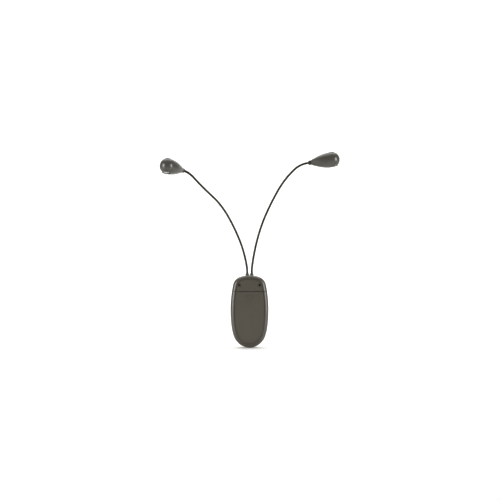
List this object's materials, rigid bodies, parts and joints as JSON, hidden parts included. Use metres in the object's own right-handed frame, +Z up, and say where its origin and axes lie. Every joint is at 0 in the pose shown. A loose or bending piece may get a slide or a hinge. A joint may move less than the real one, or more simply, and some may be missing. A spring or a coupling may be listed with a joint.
{
  "type": "clip-on reading lamp",
  "caption": "Battery clip-on reading lamp: rounded housing with a spring clip on one face, a sliding battery door, and bendable goosenecks that carry egg-shaped light heads with clear lenses.",
  "frame": {"origin": "middle of the gripping face of the clip's fixed pad, on the housing", "axes": "+Z up along the housing to the goosenecks, +Y out of the housing towards the clip's lever, -Y towards the battery door, +X to the right seen from the door side"},
  "size_m": [0.2309, 0.1088, 0.2563],
  "materials": {
    "housing_plastic": "fine satin texture",
    "head_plastic": "satin",
    "button_plastic": "satin",
    "gooseneck_metal": "dark, close-wound",
    "steel": "satin",
    "plated_metal": "bright",
    "lens_plastic": "clear, polished",
    "pad_rubber": "matt",
    "board": "solder mask",
    "component": "moulded",
    "led": "phosphor and white case",
    "cell_can": "plain printed sleeve",
    "lead_insulation": "smooth"
  },
  "bodies": {
    "housing": {"battery_side_housing": "housing_plastic", "clip_side_housing": "housing_plastic", "cell_left": "cell_can", "cell_middle": "cell_can", "cell_right": "cell_can", "contact_springs": "plated_metal", "contact_plates": "plated_metal", "housing_screws": "steel", "driver_board": "board", "board_components": "component", "neck_clamp": "component", "neck_ferrules": "steel", "neck_grommets": "housing_plastic", "neck_leads": "lead_insulation", "fixed_jaw_pad": "pad_rubber", "hinge_pin": "steel", "clip_spring": "steel", "left_neck_root": "gooseneck_metal", "right_neck_root": "gooseneck_metal"},
    "clip_lever": {"clip_lever": "housing_plastic", "moving_jaw_pad": "pad_rubber", "finger_grip": "housing_plastic"},
    "battery_door": {"battery_door": "housing_plastic"},
    "left_neck_1": {"left_neck_1": "gooseneck_metal"},
    "left_neck_2": {"left_neck_2": "gooseneck_metal"},
    "left_neck_3": {"left_neck_3": "gooseneck_metal"},
    "left_neck_4": {"left_neck_4": "gooseneck_metal"},
    "left_head": {"left_neck_tip": "gooseneck_metal", "left_back_shell": "head_plastic", "left_front_shell": "head_plastic", "left_lens": "lens_plastic", "left_led_board": "board", "left_leds": "led", "left_reflector": "plated_metal", "left_switch": "component", "left_collar": "steel", "left_screw": "steel"},
    "left_button": {"left_button": "button_plastic"},
    "right_neck_1": {"right_neck_1": "gooseneck_metal"},
    "right_neck_2": {"right_neck_2": "gooseneck_metal"},
    "right_neck_3": {"right_neck_3": "gooseneck_metal"},
    "right_neck_4": {"right_neck_4": "gooseneck_metal"},
    "right_head": {"right_neck_tip": "gooseneck_metal", "right_back_shell": "head_plastic", "right_front_shell": "head_plastic", "right_lens": "lens_plastic", "right_led_board": "board", "right_leds": "led", "right_reflector": "plated_metal", "right_switch": "component", "right_collar": "steel", "right_screw": "steel"},
    "right_button": {"right_button": "button_plastic"}
  },
  "joints": [
    {"name": "clip_hinge", "type": "hinge", "parent": "housing", "child": "clip_lever", "pos_m": [0, 0.007, 0.044], "axis": [1, 0, 0], "range_deg": [0, 30], "stiffness_Nm_per_rad": 0.2, "springref_deg": -57.3, "deforming": ["clip_spring"]},
    {"name": "battery_door_slide", "type": "slide", "parent": "housing", "child": "battery_door", "axis": [0, 0, -1], "range_m": [0, 0.076]},
    {"name": "left_neck_nod_1", "type": "hinge", "parent": "housing", "child": "left_neck_1", "pos_m": [-0.004, -0.0092, 0.09334], "axis": [0.9848, 0, 0.1736], "range_deg": [-30, 30]},
    {"name": "left_neck_sway_2", "type": "hinge", "parent": "left_neck_1", "child": "left_neck_2", "pos_m": [-0.01358, -0.01196, 0.12681], "axis": [-0.0456, 0.9925, 0.113], "range_deg": [-30, 30]},
    {"name": "left_neck_nod_3", "type": "hinge", "parent": "left_neck_2", "child": "left_neck_3", "pos_m": [-0.02874, -0.01714, 0.1579], "axis": [0.866, 0, 0.5], "range_deg": [-30, 30]},
    {"name": "left_neck_sway_4", "type": "hinge", "parent": "left_neck_3", "child": "left_neck_4", "pos_m": [-0.04986, -0.02596, 0.18415], "axis": [-0.2419, 0.9455, 0.2178], "range_deg": [-30, 30]},
    {"name": "left_neck_nod_5", "type": "hinge", "parent": "left_neck_4", "child": "left_head", "pos_m": [-0.07238, -0.04046, 0.20657], "axis": [0.7431, 0, 0.6691], "range_deg": [-30, 30]},
    {"name": "left_button_press", "type": "slide", "parent": "left_head", "child": "left_button", "axis": [0, 0, -1], "range_m": [0, 0.0008], "stiffness_N_per_m": 600, "springref_m": -0.0008},
    {"name": "right_neck_nod_1", "type": "hinge", "parent": "housing", "child": "right_neck_1", "pos_m": [0.00387, -0.00911, 0.09436], "axis": [0.9903, 0, -0.1392], "range_deg": [-30, 30]},
    {"name": "right_neck_sway_2", "type": "hinge", "parent": "right_neck_1", "child": "right_neck_2", "pos_m": [0.01082, -0.01125, 0.12856], "axis": [0.0271, 0.9945, 0.101], "range_deg": [-30, 30]},
    {"name": "right_neck_nod_3", "type": "hinge", "parent": "right_neck_2", "child": "right_neck_3", "pos_m": [0.02232, -0.01673, 0.1611], "axis": [0.9135, 0, -0.4067], "range_deg": [-30, 30]},
    {"name": "right_neck_sway_4", "type": "hinge", "parent": "right_neck_3", "child": "right_neck_4", "pos_m": [0.03783, -0.02431, 0.19154], "axis": [0.1125, 0.9744, 0.1948], "range_deg": [-30, 30]},
    {"name": "right_neck_nod_5", "type": "hinge", "parent": "right_neck_4", "child": "right_head", "pos_m": [0.05886, -0.03639, 0.21786], "axis": [0.6691, 0, -0.7431], "range_deg": [-30, 30]},
    {"name": "right_button_press", "type": "slide", "parent": "right_head", "child": "right_button", "axis": [0, 0, -1], "range_m": [0, 0.0008], "stiffness_N_per_m": 600, "springref_m": -0.0008}
  ]
}
